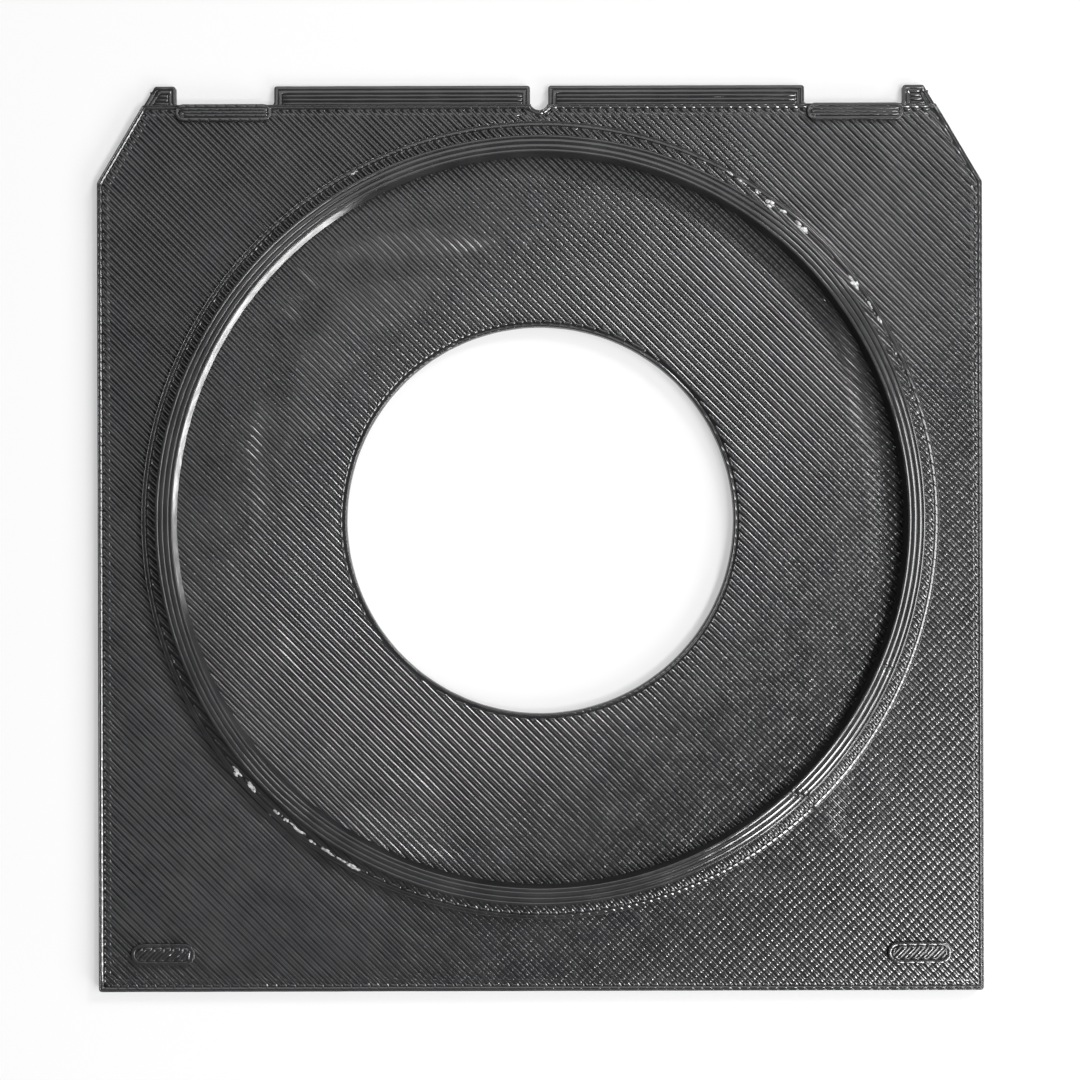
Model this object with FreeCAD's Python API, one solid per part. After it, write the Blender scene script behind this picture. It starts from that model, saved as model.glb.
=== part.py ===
# Lens board for a large-format camera: a flat rectangular plate with a central shutter hole,
# a raised circular light-trap wall round it, a thin lip along the notched top edge and four
# small raised pads that seat it in the camera's front standard.
#
# The real board is a single printed piece. It is split here into the separate islands that
# stand on its layer planes. Each island is a closed solid that meets its neighbours face to
# face without overlapping them.
#
# Units are millimetres. The origin is on the axis of the shutter hole, in the flat front face.
# +Z points to the camera side, where the light-trap wall is. +Y points to the notched top edge.

import FreeCAD
import Part
import math
import os

# ---- board outline ----
BOARD_WIDTH = 96.0
TOP_EDGE_Y = 47.25                # the shutter hole sits 1.9 mm nearer the top than the bottom
BOTTOM_EDGE_Y = -51.05
CORNER_CUT_X = 6.25               # slanted cuts at the two top corners, measured along the top
CORNER_CUT_Y = 10.55              # and down each side
BOTTOM_CORNER_RADIUS = 0.35
PLATE_THICKNESS = 2.0

# ---- thin lip along the top edge ----
LIP_THICKNESS = 1.2
LIP_DEPTH = 2.1                   # how far the lip reaches in from the top edge
LIP_ROOT_Y = TOP_EDGE_Y - LIP_DEPTH
SIDE_NOTCH_INNER_X = 28.8         # each rectangular notch runs from here outwards
SIDE_NOTCH_OUTER_X = 39.5
LIP_CORNER_RADIUS = 0.3

# ---- round-bottomed centring notch in the middle of the top edge ----
CENTRE_NOTCH_RADIUS = 1.07
CENTRE_NOTCH_BOTTOM_Y = 44.5

# ---- shutter hole ----
SHUTTER_HOLE_RADIUS = 21.0

# ---- light-trap wall and the low, wider ring that it stands on ----
WALL_INNER_RADIUS = 39.45
WALL_OUTER_RADIUS = 41.4
WALL_TOP_HEIGHT = 3.0             # above the plate
WALL_EDGE_ROUND = 0.2
SHOULDER_OUTER_RADIUS = 43.2      # the shoulder shares the wall's inner radius
SHOULDER_HEIGHT = 0.8             # above the plate
SHOULDER_EDGE_ROUND = 0.15

# ---- raised seating pads, long holes with rounded ends ----
PAD_HEIGHT = 0.6                  # above the plate
PAD_EDGE_ROUND = 0.15
TOP_PAD_LENGTH = 10.5
TOP_PAD_WIDTH = 1.85
TOP_PAD_X = 34.2
TOP_PAD_Y = 44.2
BOTTOM_PAD_LENGTH = 6.9
BOTTOM_PAD_WIDTH = 2.35
BOTTOM_PAD_X = 40.95
BOTTOM_PAD_Y = -46.9

HALF_WIDTH = BOARD_WIDTH / 2
UP = FreeCAD.Vector(0, 0, 1)


def point(x, y, z=0.0):
    return FreeCAD.Vector(x, y, z)


def prism(corners, z_low, z_high):
    """A straight-sided solid on a closed polygon of (x, y) corners."""
    wire = Part.makePolygon([point(x, y, z_low) for x, y in corners + corners[:1]])
    return Part.Face(wire).extrude(point(0, 0, z_high - z_low))


def cylinder(radius, z_low, z_high, x=0.0, y=0.0):
    return Part.makeCylinder(radius, z_high - z_low, point(x, y, z_low), UP)


def upright_edges(shape, places, tolerance=0.05):
    """The vertical edges of a shape that stand at the given (x, y) places."""
    found = []
    for edge in shape.Edges:
        start, end = edge.Vertexes[0].Point, edge.Vertexes[-1].Point
        if abs(start.z - end.z) < 1e-6:
            continue
        for x, y in places:
            if math.hypot(start.x - x, start.y - y) < tolerance:
                found.append(edge)
    return found


def rim_edges(shape, z):
    """Every edge that lies in the horizontal plane at height z."""
    return [
        edge for edge in shape.Edges
        if abs(edge.BoundBox.ZMin - z) < 1e-6 and abs(edge.BoundBox.ZMax - z) < 1e-6
    ]


def slanted_x(y):
    """Half-width of the board at height y, where the corner cut narrows it."""
    cut_start = TOP_EDGE_Y - CORNER_CUT_Y
    if y <= cut_start:
        return HALF_WIDTH
    return HALF_WIDTH - CORNER_CUT_X * (y - cut_start) / CORNER_CUT_Y


def board_plate():
    """The full-thickness plate, up to the root of the lip."""
    cut_start = TOP_EDGE_Y - CORNER_CUT_Y
    root_x = slanted_x(LIP_ROOT_Y)
    plate = prism(
        [
            (-HALF_WIDTH, BOTTOM_EDGE_Y),
            (HALF_WIDTH, BOTTOM_EDGE_Y),
            (HALF_WIDTH, cut_start),
            (root_x, LIP_ROOT_Y),
            (-root_x, LIP_ROOT_Y),
            (-HALF_WIDTH, cut_start),
        ],
        0.0,
        PLATE_THICKNESS,
    )
    bottom_corners = [(-HALF_WIDTH, BOTTOM_EDGE_Y), (HALF_WIDTH, BOTTOM_EDGE_Y)]
    plate = plate.makeFillet(BOTTOM_CORNER_RADIUS, upright_edges(plate, bottom_corners))
    plate = plate.cut(cylinder(SHUTTER_HOLE_RADIUS, -1.0, PLATE_THICKNESS + 1.0))
    return plate.cut(centre_notch())


def centre_notch():
    """The cutter for the round-bottomed centring notch."""
    centre_y = CENTRE_NOTCH_BOTTOM_Y + CENTRE_NOTCH_RADIUS
    slot = prism(
        [
            (-CENTRE_NOTCH_RADIUS, centre_y),
            (CENTRE_NOTCH_RADIUS, centre_y),
            (CENTRE_NOTCH_RADIUS, TOP_EDGE_Y + 1.0),
            (-CENTRE_NOTCH_RADIUS, TOP_EDGE_Y + 1.0),
        ],
        -1.0,
        PLATE_THICKNESS + 1.0,
    )
    bottom = cylinder(CENTRE_NOTCH_RADIUS, -1.0, PLATE_THICKNESS + 1.0, 0.0, centre_y)
    return slot.fuse(bottom).removeSplitter()


def lip_segment(side):
    """The long stretch of thin lip between the centring notch and a side notch."""
    inner = 0.0
    outer = side * SIDE_NOTCH_INNER_X
    lip = prism(
        [
            (inner, LIP_ROOT_Y),
            (outer, LIP_ROOT_Y),
            (outer, TOP_EDGE_Y),
            (inner, TOP_EDGE_Y),
        ],
        0.0,
        LIP_THICKNESS,
    )
    lip = lip.cut(centre_notch())
    tips = [(outer, TOP_EDGE_Y), (side * CENTRE_NOTCH_RADIUS, TOP_EDGE_Y)]
    return lip.makeFillet(LIP_CORNER_RADIUS, upright_edges(lip, tips))


def corner_tab(side):
    """The short stretch of thin lip between a side notch and the slanted corner cut."""
    tab = prism(
        [
            (side * SIDE_NOTCH_OUTER_X, LIP_ROOT_Y),
            (side * slanted_x(LIP_ROOT_Y), LIP_ROOT_Y),
            (side * slanted_x(TOP_EDGE_Y), TOP_EDGE_Y),
            (side * SIDE_NOTCH_OUTER_X, TOP_EDGE_Y),
        ],
        0.0,
        LIP_THICKNESS,
    )
    tips = [(side * SIDE_NOTCH_OUTER_X, TOP_EDGE_Y), (side * slanted_x(TOP_EDGE_Y), TOP_EDGE_Y)]
    return tab.makeFillet(LIP_CORNER_RADIUS, upright_edges(tab, tips))


def flat_ring(inner_radius, outer_radius, z_low, z_high):
    return cylinder(outer_radius, z_low, z_high).cut(cylinder(inner_radius, z_low, z_high))


def light_trap_wall():
    """The tall circular wall. It stands on the shoulder, with its top edges rounded."""
    top = PLATE_THICKNESS + WALL_TOP_HEIGHT
    wall = flat_ring(WALL_INNER_RADIUS, WALL_OUTER_RADIUS, PLATE_THICKNESS + SHOULDER_HEIGHT, top)
    return wall.makeFillet(WALL_EDGE_ROUND, rim_edges(wall, top))


def wall_shoulder():
    """The low ring under the wall. It is wider than the wall, so it shows as a step outside it."""
    top = PLATE_THICKNESS + SHOULDER_HEIGHT
    ring = flat_ring(WALL_INNER_RADIUS, SHOULDER_OUTER_RADIUS, PLATE_THICKNESS, top)
    outer_rim = [edge for edge in rim_edges(ring, top) if edge.BoundBox.XMax > WALL_OUTER_RADIUS]
    return ring.makeFillet(SHOULDER_EDGE_ROUND, outer_rim)


def seating_pad(x, y, length, width):
    """A raised pad with half-round ends, its top edge slightly rounded."""
    top = PLATE_THICKNESS + PAD_HEIGHT
    half_straight = (length - width) / 2
    pad = prism(
        [
            (x - half_straight, y - width / 2),
            (x + half_straight, y - width / 2),
            (x + half_straight, y + width / 2),
            (x - half_straight, y + width / 2),
        ],
        PLATE_THICKNESS,
        top,
    )
    for end_x in (x - half_straight, x + half_straight):
        pad = pad.fuse(cylinder(width / 2, PLATE_THICKNESS, top, end_x, y))
    pad = pad.removeSplitter()
    return pad.makeFillet(PAD_EDGE_ROUND, rim_edges(pad, top))


def with_footprints(plate, standing):
    """The plate with its top face divided along the foot of everything that stands on it.

    This leaves the recess floor, the outer face and each foot as faces of their own.
    """
    divided, _ = plate.generalFuse(standing)
    return max(divided.Solids, key=lambda solid: solid.Volume)


raised = {
    "light_trap_wall": light_trap_wall(),
    "wall_shoulder": wall_shoulder(),
}
lip = {}
for side_name, side in (("left", -1), ("right", 1)):
    lip["top_lip_" + side_name] = lip_segment(side)
    lip["corner_tab_" + side_name] = corner_tab(side)
    raised["top_pad_" + side_name] = seating_pad(
        side * TOP_PAD_X, TOP_PAD_Y, TOP_PAD_LENGTH, TOP_PAD_WIDTH
    )
    raised["bottom_pad_" + side_name] = seating_pad(
        side * BOTTOM_PAD_X, BOTTOM_PAD_Y, BOTTOM_PAD_LENGTH, BOTTOM_PAD_WIDTH
    )
pieces = {"board_plate": with_footprints(board_plate(), list(raised.values())), **lip, **raised}

os.makedirs("parts", exist_ok=True)
for name, shape in pieces.items():
    if not shape.isValid() or len(shape.Solids) != 1:
        raise ValueError(name + " is not one closed solid")
    shape.Solids[0].exportStep("parts/" + name + ".step")
    print(name, round(shape.Volume, 2), "mm3,", len(shape.Faces), "faces")
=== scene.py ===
# Looks of the printed lens board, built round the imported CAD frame.
#
# The board is a fused-filament print, so its visible surface is made of the beads that the
# printer lays down: layer lines on every wall, perimeter beads round every top edge, straight
# fill beads that turn round just inside them, and seam blobs. Every fill bead is a closed solid
# of its own, sunk into a closed core. Lengths are millimetres up to the point where a mesh is
# written, and metres from there on: the meshes, the floor, the lights and the camera are in the
# CAD frame.

import math

import bpy
import numpy as np
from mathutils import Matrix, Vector


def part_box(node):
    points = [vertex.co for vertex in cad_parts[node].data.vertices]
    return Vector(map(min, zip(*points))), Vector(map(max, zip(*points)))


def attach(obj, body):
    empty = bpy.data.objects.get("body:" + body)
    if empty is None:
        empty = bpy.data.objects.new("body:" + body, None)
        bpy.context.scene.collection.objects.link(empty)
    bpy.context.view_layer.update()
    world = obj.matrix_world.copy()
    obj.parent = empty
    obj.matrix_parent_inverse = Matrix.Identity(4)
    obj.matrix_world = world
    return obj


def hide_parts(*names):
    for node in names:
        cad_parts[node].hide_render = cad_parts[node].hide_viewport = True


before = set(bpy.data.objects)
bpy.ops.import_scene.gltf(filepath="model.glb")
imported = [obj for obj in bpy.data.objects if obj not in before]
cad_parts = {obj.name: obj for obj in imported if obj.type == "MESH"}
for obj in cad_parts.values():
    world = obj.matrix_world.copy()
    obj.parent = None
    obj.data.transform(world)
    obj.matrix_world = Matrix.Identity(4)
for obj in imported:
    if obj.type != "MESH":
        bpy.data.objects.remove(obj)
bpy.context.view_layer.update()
MM = 0.001
CLOSE = 0.01                  # two measures nearer than this are the same
FAR = 1e6                     # farther than anything on the board


# ---- sizes read from the frame ----
def node_points(node):
    """Vertices of a CAD node, in millimetres."""
    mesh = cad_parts[node].data
    points = np.empty(len(mesh.vertices) * 3, np.float32)
    mesh.vertices.foreach_get("co", points)
    return points.reshape(-1, 3).astype(float) / MM


def node_box(node):
    low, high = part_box(node)
    return np.array(low) / MM, np.array(high) / MM


plate_points = node_points("board_plate")
plate_low, plate_high = node_box("board_plate")
HALF_WIDTH, ROOT_Y, PLATE_TOP = plate_high
BOTTOM_Y = plate_low[1]
on_side = np.abs(np.abs(plate_points[:, 0]) - HALF_WIDTH) < CLOSE
CUT_START_Y = plate_points[on_side, 1].max()
on_root = np.abs(plate_points[:, 1] - ROOT_Y) < CLOSE
ROOT_HALF_X = np.abs(plate_points[on_root, 0]).max()
NOTCH_CORNER_X = np.abs(plate_points[on_root, 0]).min()
near_notch = (np.abs(plate_points[:, 0]) < 0.2) & (plate_points[:, 1] > ROOT_Y - 5)
NOTCH_BOTTOM_Y = plate_points[near_notch, 1].min()
HOLE_R = np.hypot(plate_points[:, 0], plate_points[:, 1]).min()

lip_low, lip_high = node_box("top_lip_right")
SIDE_NOTCH_INNER, TOP_Y, LIP_TOP = lip_high
NOTCH_R = lip_low[0]
NOTCH_CENTRE_Y = NOTCH_BOTTOM_Y + NOTCH_R
tab_low, tab_high = node_box("corner_tab_right")
SIDE_NOTCH_OUTER = tab_low[0]
TAB_ROOT_X = tab_high[0]
TAB_TIP_X = ROOT_HALF_X - (TOP_Y - ROOT_Y) * (HALF_WIDTH - ROOT_HALF_X) / (ROOT_Y - CUT_START_Y)

wall_points = node_points("light_trap_wall")
WALL_IN_R = np.hypot(wall_points[:, 0], wall_points[:, 1]).min()
WALL_OUT_R, _, WALL_TOP = node_box("light_trap_wall")[1]
SHOULDER_R, _, SHOULDER_TOP = node_box("wall_shoulder")[1]

# ---- how the printer laid it down ----
LAYER = 0.2
LAYER_GROOVE = 0.032          # depth of the line between two layers
LAYER_SIDE = [(1.0, 0.0), (0.3, 0.045), (0.0, 0.1), (0.3, 0.155)]   # share of the groove, height
FILL_PITCH = 0.3565           # across the fill beads
PAIR_SHIFT = 0.011            # beads lie in pairs, each shifted this far towards its partner
RIM_BEAD = 0.40               # width of the perimeter bead
WIDE_RIM = 0.54               # the same where the layers below stand out as a ledge
LEDGE = 0.20                  # how far they stand out past the top bead
TURN_INSET = 0.66             # where the fill beads turn round, in from the edge
HOLE_TURN_INSET = 0.62
GROOVE = 0.065                # depth between perimeter beads
CORE_DROP = 0.085             # the hidden core lies this far under the bead tops
STATION = 0.9                 # spacing of cross-sections along a fill bead
# Sections are (across, height) pairs, from the middle of the bead and from its top.
# A fill bead is half-round on the open side of its pair, and nearly flat where the two merge.
PAIR_SECTION = np.array([
    (-0.200, -0.020), (-0.125, -0.002), (0.012, 0.0), (0.038, -0.0020), (0.056, -0.0078),
    (0.084, -0.0181), (0.112, -0.0298), (0.140, -0.0425), (0.192, -0.100),
])
PAIR_CREASE = 7               # the flank ends in a crease at this point of the section
BEAD_SECTION = np.array([
    (-0.200, -0.105), (-0.165, -0.046), (-0.105, -0.012), (0.0, 0.0),
    (0.105, -0.012), (0.165, -0.046), (0.200, -0.105),
])
TURN_SECTION = np.array([
    (-0.200, -0.085), (-0.150, -0.036), (-0.095, -0.020), (-0.040, -0.005), (0.0, 0.0),
    (0.040, -0.005), (0.095, -0.020), (0.150, -0.036), (0.200, -0.085),
])
FRONT_SECTION = np.array([
    (-0.25, -0.06), (-0.225, -0.010), (-0.19, 0.0), (0.19, 0.0), (0.225, -0.010), (0.25, -0.06),
])
TURN_RISE = 0.016             # plastic piles up where a bead turns round
SHORTEST_TURN = 0.15
PINCH, PINCH_REACH = 0.16, 0.75     # the beads are drawn thinner just before they turn
CAP_REACH = 0.17              # a bead's end is rounded off over this length, in two steps:
CAP_STEPS = (1.0, 0.30, 0.05), (0.62, 0.78, 0.016)      # share of the length, width, drop
DOWN_RIGHT = np.array([1.0, -1.0]) / math.sqrt(2)
UP_RIGHT = np.array([1.0, 1.0]) / math.sqrt(2)

rng = np.random.default_rng(20)


# ---- mesh building ----
class Shells:
    """Closed shells gathered into one mesh."""

    def __init__(self):
        self.points, self.quads, self.triangles, self.count = [], [], [], 0
        self.creases = []

    def tube(self, grid, closed, creases=()):
        """A tube through grid[station, place round the section]; its ends are capped if it is open.

        creases are the places round the section that keep a sharp edge.
        """
        stations, around = grid.shape[:2]
        for place in creases:
            self.creases.append(self.count + place + around * np.arange(stations))
        index = np.arange(stations * around).reshape(stations, around)
        last = stations if closed else stations - 1
        here = index[:last]
        ahead = np.roll(index, -1, axis=0)[:last]
        quads = np.stack(
            [here, np.roll(here, -1, axis=1), np.roll(ahead, -1, axis=1), ahead], axis=-1
        ).reshape(-1, 4)
        points = grid.reshape(-1, 3)
        a, b, c, d = (points[quads[:, k]] for k in range(4))
        volume = np.einsum("ij,ij->i", a, np.cross(b, c) + np.cross(c, d)).sum()
        flip = volume < 0
        triangles = np.empty((0, 3), int)
        if not closed:
            caps = np.array([grid[0].mean(0), grid[-1].mean(0)])
            first, final = len(points), len(points) + 1
            ring0, ring1 = index[0], index[-1]
            triangles = np.concatenate([
                np.stack([np.full(around, first), np.roll(ring0, -1), ring0], axis=-1),
                np.stack([np.full(around, final), ring1, np.roll(ring1, -1)], axis=-1),
            ])
            points = np.concatenate([points, caps])
        if flip:
            quads, triangles = quads[:, ::-1], triangles[:, ::-1]
        self.points.append(points)
        self.quads.append(quads + self.count)
        self.triangles.append(triangles + self.count)
        self.count += len(points)

    def piece(self, name, material, replaces=()):
        """Makes the mesh object, which rides on the board."""
        points = np.concatenate(self.points) * MM
        quads = np.concatenate(self.quads)
        triangles = np.concatenate(self.triangles)
        mesh = bpy.data.meshes.new(name)
        mesh.vertices.add(len(points))
        mesh.vertices.foreach_set("co", points.astype(np.float32).ravel())
        corners = np.concatenate([quads.ravel(), triangles.ravel()]).astype(np.int32)
        starts = np.concatenate([
            np.arange(len(quads)) * 4, len(quads) * 4 + np.arange(len(triangles)) * 3
        ]).astype(np.int32)
        mesh.loops.add(len(corners))
        mesh.loops.foreach_set("vertex_index", corners)
        mesh.polygons.add(len(starts))
        mesh.polygons.foreach_set("loop_start", starts)
        mesh.update(calc_edges=True)
        mesh.shade_smooth()
        if self.creases:
            line = np.zeros(len(points), int)
            for k, places in enumerate(self.creases):
                line[places] = k + 1
            ends = np.empty(len(mesh.edges) * 2, np.int32)
            mesh.edges.foreach_get("vertices", ends)
            ends = line[ends.reshape(-1, 2)]
            sharp = mesh.attributes.new("sharp_edge", "BOOLEAN", "EDGE")
            sharp.data.foreach_set("value", (ends[:, 0] == ends[:, 1]) & (ends[:, 0] > 0))
        mesh.materials.append(material)
        made = bpy.data.objects.new(name, mesh)
        bpy.context.scene.collection.objects.link(made)
        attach(made, "root")
        if replaces:
            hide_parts(*replaces)


def ripple(count, cycles):
    """Smooth noise between 0 and 1 round count stations; cycles is its finest wave count."""
    turns = np.arange(count) / count * 2 * math.pi
    total = np.zeros(count)
    for k in np.unique(np.round(cycles * rng.uniform(0.15, 1.0, 9)).astype(int)):
        total += rng.normal() * np.sin(max(k, 1) * turns + rng.uniform(0, 2 * math.pi))
    return 0.5 + 0.5 * np.tanh(total / 2.2)


# ---- loops and profiles ----
def sides(corners):
    """Length, direction and inward normal of each side of an anticlockwise polygon."""
    along = np.roll(corners, -1, axis=0) - corners
    lengths = np.hypot(along[:, 0], along[:, 1])
    along /= lengths[:, None]
    return lengths, along, np.column_stack([-along[:, 1], along[:, 0]])


def polygon_loop(corners, rounds, spacing=1.0):
    """inset -> closed curve that far inside the polygon (anticlockwise).

    Every inset gives the same number of points, so that loops can be joined into a sweep.
    """
    corners, rounds = np.array(corners, float), np.array(rounds, float)
    lengths, along, inward = sides(corners)
    before, inward_before = np.roll(along, 1, axis=0), np.roll(inward, 1, axis=0)
    cross = before[:, 0] * along[:, 1] - before[:, 1] * along[:, 0]
    dot = (before * along).sum(1)
    turn = np.arctan2(cross, dot)
    splits = np.maximum(1, np.round(lengths / spacing).astype(int))

    def loop(inset):
        moved = corners + inset * (inward_before + inward) / (1 + dot)[:, None]
        grown = np.where(turn > 0, np.maximum(rounds - inset, 0.02), rounds + inset)
        radius = np.where(rounds > 0, grown, 0.0)
        reach = radius * np.tan(np.abs(turn) / 2)
        arcs = []
        for i in range(len(corners)):
            start = moved[i] - before[i] * reach[i]
            if rounds[i] > 0:
                angles = turn[i] * np.linspace(0, 1, 5)
                nx, ny = inward_before[i]
                turned = np.column_stack([
                    nx * np.cos(angles) - ny * np.sin(angles),
                    nx * np.sin(angles) + ny * np.cos(angles),
                ])
                arc = start + np.sign(turn[i]) * radius[i] * (inward_before[i] - turned)
            else:
                arc = start[None]
            arcs.append(arc)
        out = []
        for i, arc in enumerate(arcs):
            following = arcs[(i + 1) % len(arcs)][0]
            share = np.arange(1, splits[i])[:, None] / splits[i]
            out += [arc, arc[-1] + (following - arc[-1]) * share]
        return np.concatenate(out)

    return loop


def circle_loop(radius, inward, angles):
    """inset -> circle; inward is -1 where the material is inside the circle, and +1 outside it."""
    unit = np.column_stack([np.cos(angles), np.sin(angles)])
    return lambda inset: unit * (radius + inward * inset)


def ring_angles(radius, spacing, seams=()):
    """Angles round a ring, closer together at its seams (degrees)."""
    count = int(round(2 * math.pi * radius / spacing))
    sets = [np.arange(count) * 2 * math.pi / count]
    for seam in seams:
        sets.append(math.radians(seam) + np.linspace(-1.1, 1.1, 37) / radius)
    angles = np.sort(np.concatenate(sets) % (2 * math.pi))
    return angles[np.diff(angles, append=angles[0] + 2 * math.pi) * radius > 0.02]


def layers(z_low, z_high):
    """Side wall profile from z_low up to z_high: (inset, z, layer), a line at every layer."""
    out = []
    for k in range(int(round((z_high - z_low) / LAYER))):
        z = z_low + k * LAYER
        out += [(share * LAYER_GROOVE, z + rise, k) for share, rise in LAYER_SIDE]
    return out


# crowns are (share of the bead's width, share of its height) pairs, from the outside inwards
CROWN = [(0.03, 0.82), (0.09, 0.28), (0.18, 0.15), (0.36, 0.02), (0.5, 0.0),
         (0.64, 0.02), (0.82, 0.15), (0.91, 0.28), (0.97, 0.82)]


def bead_tops(edges, top, first_group, groove=GROOVE, crown=CROWN):
    """Top profile of beads side by side between the inset values in edges."""
    out = []
    for k, (a, b) in enumerate(zip(edges[:-1], edges[1:])):
        width = b - a
        out += [(a + f * width, top - g * groove, first_group + k) for f, g in crown]
        if k < len(edges) - 2:
            out.append((b, top - groove, first_group + k))
    return out


def swept(shells, loop, profile, waver, cycles, tall=0.0, seams=(), creases=()):
    """A closed sweep of profile (inset, z, group) round a loop. Each group wavers on its own.

    A group below 0 is hidden and keeps still. seams are (angle in degrees, groups, length, rise,
    push): places round a ring where the bead stops and starts again.
    """
    base = loop(0.0)
    count = len(base)
    groups = sorted({g for _, _, g in profile})
    side = {g: ripple(count, cycles) for g in groups}
    lift = {g: ripple(count, cycles) for g in groups}
    columns = []
    angle = np.degrees(np.arctan2(base[:, 1], base[:, 0]))
    radius = np.hypot(base[:, 0], base[:, 1])
    for inset, z, group in profile:
        place = loop(inset)
        inward = (loop(inset + 0.01) - place) / 0.01
        hidden = group < 0
        push = np.zeros(count) if hidden else waver * side[group]
        rise = np.zeros(count) if hidden else -tall * lift[group]
        for seam_angle, seam_groups, length, up, out in seams:
            if group in seam_groups:
                away = np.radians((angle - seam_angle + 180) % 360 - 180) * radius
                mark = np.exp(-((away / length) ** 2))
                rise = rise + up * mark
                push = push - out * mark
        columns.append(np.column_stack([place + inward * push[:, None], z + rise]))
    shells.tube(np.stack(columns, axis=1), closed=True, creases=creases)


def slab(shells, outer, inner, z_low, z_high):
    """A closed ring-shaped slab between two loops with the same number of points."""
    columns = [(inner, z_low), (inner, z_high), (outer, z_high), (outer, z_low)]
    grid = np.stack([np.column_stack([p, np.full(len(p), z)]) for p, z in columns], axis=1)
    shells.tube(grid, closed=True)


def block(shells, outline, z_low, z_high):
    """A closed upright block on an outline."""
    ends = [np.column_stack([outline, np.full(len(outline), z)]) for z in (z_low, z_high)]
    shells.tube(np.stack(ends), closed=False)


# ---- fill beads ----
def inside_polygon(corners, inset, label):
    """The stretch inside the polygon of a line along run, at offset c across it."""
    corners = np.array(corners, float)
    inward = sides(corners)[2]
    level = (inward * corners).sum(1) + inset

    def clip(c, across, run):
        low, high = -FAR, FAR
        for n, need in zip(inward, level):
            slope, have = n @ run, c * (n @ across)
            if abs(slope) < 1e-9:
                if have < need:
                    return None
                continue
            limit = (need - have) / slope
            if slope > 0:
                low = max(low, limit)
            else:
                high = min(high, limit)
        return (low, label, high, label) if high > low else None

    return clip


def chord(c, across, run, radius, centre=(0.0, 0.0)):
    """Where a line crosses a circle, as two distances along it, or None."""
    centre = np.array(centre)
    gap = c - centre @ across
    if abs(gap) >= radius:
        return None
    half = math.sqrt(radius * radius - gap * gap)
    middle = centre @ run
    return middle - half, middle + half


def without(stretches, hole, label):
    """The stretches with the crossing of a hole cut out."""
    if hole is None:
        return stretches
    out = []
    for a, mark_a, b, mark_b in stretches:
        if hole[1] <= a or hole[0] >= b:
            out.append((a, mark_a, b, mark_b))
            continue
        if hole[0] > a:
            out.append((a, mark_a, hole[0], label))
        if hole[1] < b:
            out.append((hole[1], label, b, mark_b))
    return [s for s in out if s[2] - s[0] > 0.12]


def strip(path, across, top, width=1.0, section=BEAD_SECTION, flip=1.0):
    """Cross-sections of one bead along a path, with rounded ends.

    top and width may vary along the path. flip is -1 for a bead on the underside.
    """
    start, end = path[1] - path[0], path[-1] - path[-2]
    start /= np.hypot(*start)
    end /= np.hypot(*end)
    (far, narrow, low), (near, wide, high) = CAP_STEPS
    reach = CAP_REACH * np.mean(width)
    middle = len(path)
    path = np.concatenate([
        [path[0] - start * reach * far, path[0] - start * reach * near], path,
        [path[-1] + end * reach * near, path[-1] + end * reach * far],
    ])
    shrink = np.concatenate([[narrow, wide], np.ones(middle), [wide, narrow]])
    if np.ndim(width):
        width = np.concatenate([[width[0]] * 2, width, [width[-1]] * 2])
    drop = np.concatenate([[low, high], np.zeros(middle), [high, low]])
    top = np.concatenate([[top[0]] * 2, top, [top[-1]] * 2]) - drop * flip
    sideways = section[:, 0][None, :, None] * (shrink * width)[:, None, None]
    plan = path[:, None, :] + sideways * across
    height = top[:, None] + flip * section[:, 1][None, :]
    return np.concatenate([plan, height[:, :, None]], axis=2)


def fill(shells, turns, stretches, reach, run, top, pitch=FILL_PITCH, joins=("edge",),
         section=None, flip=1.0, station=STATION, longest_turn=1.7, wander=0.010):
    """Lays fill beads along run over every stretch, and turns them round in pairs at their ends.

    shells may be a pair: one mesh for the beads on each side of the middle. reach is how far out
    the lines go on both sides, and joins are the marks of the ends where beads turn round. With a
    section of their own the beads are even, without pairs.
    """
    paired = section is None
    across = np.array([-run[1], run[0]])
    ends = {}
    count = int(reach / pitch)
    for k in range(-count, count + 1):
        c = k * pitch + (PAIR_SHIFT if k % 2 else -PAIR_SHIFT) * pitch / FILL_PITCH
        tilt = rng.normal(0, 0.0022)
        for a, mark_a, b, mark_b in stretches(c, across, run):
            steps = max(2, int(math.ceil((b - a) / station)) + 1)
            s = np.linspace(a, b, steps)
            if paired and b - a > 3:
                s = np.concatenate([[a, a + 0.35], s[1:-1], [b - 0.35, b]])
                steps = len(s)
            phase = rng.uniform(0, 2 * math.pi, 4)
            sway = wander * (np.sin(s / 2.3 + phase[0]) * 0.5 + np.sin(s / 0.9 + phase[1]) * 0.35)
            lift = 0.0030 * (np.sin(s / 3.1 + phase[2]) + 0.8 * np.sin(s / 0.7 + phase[3])) + tilt
            lift = np.minimum(lift, 0.006) - 0.006
            path = (c + sway)[:, None] * across + s[:, None] * run
            pinch = np.zeros(steps)
            for mark, there in ((mark_a, a), (mark_b, b)):
                if mark in joins:
                    near = np.exp(-(((s - there) / PINCH_REACH) ** 2))
                    pinch += PINCH * near * rng.uniform(0.4, 1.3)
            shape = PAIR_SECTION * [1 if k % 2 == 0 else -1, 1] if paired else section
            target = shells[int(k >= 0)] if isinstance(shells, tuple) else shells
            bead = strip(path, across, top + flip * lift, 1 - pinch, shape, flip)
            target.tube(bead, closed=False, creases=(PAIR_CREASE,) if paired else ())
            ends.setdefault((mark_a, "start"), {}).setdefault(k, []).append(path[0])
            ends.setdefault((mark_b, "end"), {}).setdefault(k, []).append(path[-1])
    if turns is not None:
        turn_round(turns, ends, joins, top, longest_turn)


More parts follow.
